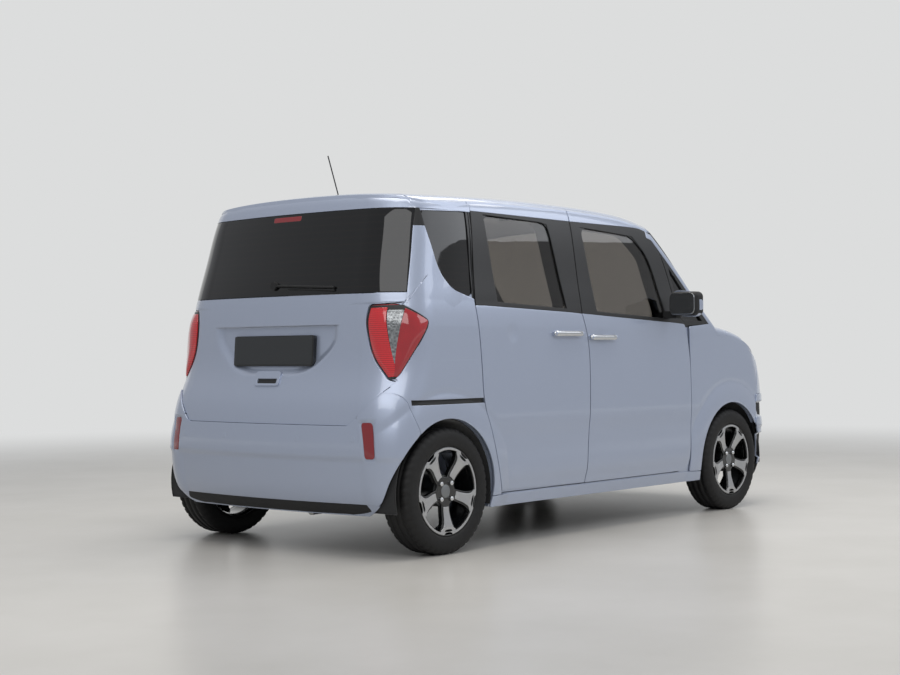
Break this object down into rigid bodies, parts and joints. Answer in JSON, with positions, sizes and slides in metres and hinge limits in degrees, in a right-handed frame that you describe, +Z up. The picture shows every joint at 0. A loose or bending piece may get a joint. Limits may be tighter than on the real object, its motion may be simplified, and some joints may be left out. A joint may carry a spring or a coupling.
{
  "type": "small city car",
  "caption": "Tall box-shaped small car with a sliding door on one side, hinged doors, tailgate, bonnet and four road wheels that roll and steer.",
  "frame": {"origin": "bottom centre of the bounding box, on the ground under the middle of the car", "axes": "+X forward along the car, +Y to the car's left, +Z up"},
  "size_m": [3.597, 1.9782, 1.891],
  "materials": {
    "paint": "gloss",
    "side_glass": "gloss",
    "clear_glass": "gloss",
    "lamp_red": "gloss",
    "lamp_clear": "gloss",
    "trim_black": "satin",
    "bumper_paint": "gloss",
    "steel": "satin",
    "iron": "matte",
    "alloy": "satin",
    "tyre": "matte",
    "seat_cloth": "matte",
    "dash_plastic": "matte",
    "floor_steel": "satin"
  },
  "bodies": {
    "body": {"body_side_right": "paint", "body_side_left": "paint", "roof": "paint", "windscreen": "clear_glass", "slide_door": "paint", "slide_glass": "side_glass", "quarter_glass": "side_glass", "tail_lamps": "lamp_red", "rear_bumper": "bumper_paint", "front_bumper": "bumper_paint", "headlamps": "lamp_clear", "wing_right": "paint", "wing_left": "paint", "front_panel": "bumper_paint", "cowl": "trim_black", "floor_pan": "floor_steel", "front_structure": "floor_steel", "front_subframe": "steel", "engine": "alloy", "radiator": "alloy", "exhaust": "steel", "fuel_tank": "steel", "rear_axle": "steel", "front_seat_left": "seat_cloth", "front_seat_right": "seat_cloth", "seat_frames": "steel", "rear_bench": "seat_cloth", "dashboard": "dash_plastic", "aerial": "trim_black"},
    "door_front_right": {"front_door_right": "paint", "front_glass_right": "side_glass", "mirror_right": "trim_black"},
    "door_front_left": {"front_door_left": "paint", "front_glass_left": "side_glass", "mirror_left": "trim_black"},
    "door_rear_left": {"rear_door_left": "paint", "rear_glass_left": "side_glass"},
    "tailgate": {"tailgate": "paint", "tailgate_glass": "side_glass", "rear_wiper": "trim_black"},
    "bonnet": {"bonnet": "paint"},
    "fuel_flap": {"fuel_flap": "paint"},
    "steering_wheel": {"steering_wheel": "dash_plastic"},
    "rack": {"rack_bar": "steel"},
    "steer_left": {"knuckle_left": "iron"},
    "steer_right": {"knuckle_right": "iron"},
    "wheel_front_left": {"rim_front_left": "alloy", "tyre_front_left": "tyre", "brake_disc_front_left": "iron"},
    "wheel_front_right": {"rim_front_right": "alloy", "tyre_front_right": "tyre", "brake_disc_front_right": "iron"},
    "wheel_rear_left": {"rim_rear_left": "alloy", "tyre_rear_left": "tyre", "brake_drum_rear_left": "iron"},
    "wheel_rear_right": {"rim_rear_right": "alloy", "tyre_rear_right": "tyre", "brake_drum_rear_right": "iron"}
  },
  "joints": [
    {"name": "front_door_right_hinge", "type": "hinge", "parent": "body", "child": "door_front_right", "pos_m": [0.71402, -0.78634, 0.68], "axis": [0, 0, 1], "range_deg": [0, 68]},
    {"name": "front_door_left_hinge", "type": "hinge", "parent": "body", "child": "door_front_left", "pos_m": [0.71402, 0.78634, 0.68], "axis": [0, 0, -1], "range_deg": [0, 68]},
    {"name": "rear_door_left_hinge", "type": "hinge", "parent": "body", "child": "door_rear_left", "pos_m": [-0.24862, 0.78634, 0.68], "axis": [0, 0, -1], "range_deg": [0, 70]},
    {"name": "tailgate_hinge", "type": "hinge", "parent": "body", "child": "tailgate", "pos_m": [-1.4535, 0, 1.6715], "axis": [0, 1, 0], "range_deg": [0, 85]},
    {"name": "bonnet_hinge", "type": "hinge", "parent": "body", "child": "bonnet", "pos_m": [1.1273, 0, 1.078], "axis": [0, -1, 0], "range_deg": [0, 55]},
    {"name": "fuel_flap_hinge", "type": "hinge", "parent": "body", "child": "fuel_flap", "pos_m": [-1.3359, 0.77756, 0.952], "axis": [0, 0, -1], "range_deg": [0, 90]},
    {"name": "steering_wheel_turn", "type": "hinge", "parent": "body", "child": "steering_wheel", "pos_m": [0.1697, 0.3621, 0.9435], "axis": [0.922, 0, -0.3872], "range_deg": [-540, 540]},
    {"name": "rack_slide", "type": "slide", "parent": "body", "child": "rack", "axis": [0, 1, 0], "range_m": [-0.08, 0.08]},
    {"name": "steer_left_turn", "type": "hinge", "parent": "body", "child": "steer_left", "pos_m": [1.1525, 0.574, 0.288], "axis": [0, 0, 1], "range_deg": [-35, 35]},
    {"name": "steer_right_turn", "type": "hinge", "parent": "body", "child": "steer_right", "pos_m": [1.1525, -0.574, 0.288], "axis": [0, 0, 1], "range_deg": [-35, 35]},
    {"name": "front_left_spin", "type": "hinge", "parent": "steer_left", "child": "wheel_front_left", "pos_m": [1.1525, 0.71, 0.288], "axis": [0, 1, 0], "continuous": true},
    {"name": "front_right_spin", "type": "hinge", "parent": "steer_right", "child": "wheel_front_right", "pos_m": [1.1525, -0.71, 0.288], "axis": [0, 1, 0], "continuous": true},
    {"name": "rear_left_spin", "type": "hinge", "parent": "body", "child": "wheel_rear_left", "pos_m": [-1.3675, 0.71, 0.288], "axis": [0, 1, 0], "continuous": true},
    {"name": "rear_right_spin", "type": "hinge", "parent": "body", "child": "wheel_rear_right", "pos_m": [-1.3675, -0.71, 0.288], "axis": [0, 1, 0], "continuous": true}
  ],
  "couplings": [
    {"joint": "steer_right_turn", "follows": "steer_left_turn", "ratio": 1},
    {"joint": "steering_wheel_turn", "follows": "steer_left_turn", "ratio": -15},
    {"joint": "rack_slide", "follows": "steer_left_turn", "m_per_rad": -0.12}
  ]
}
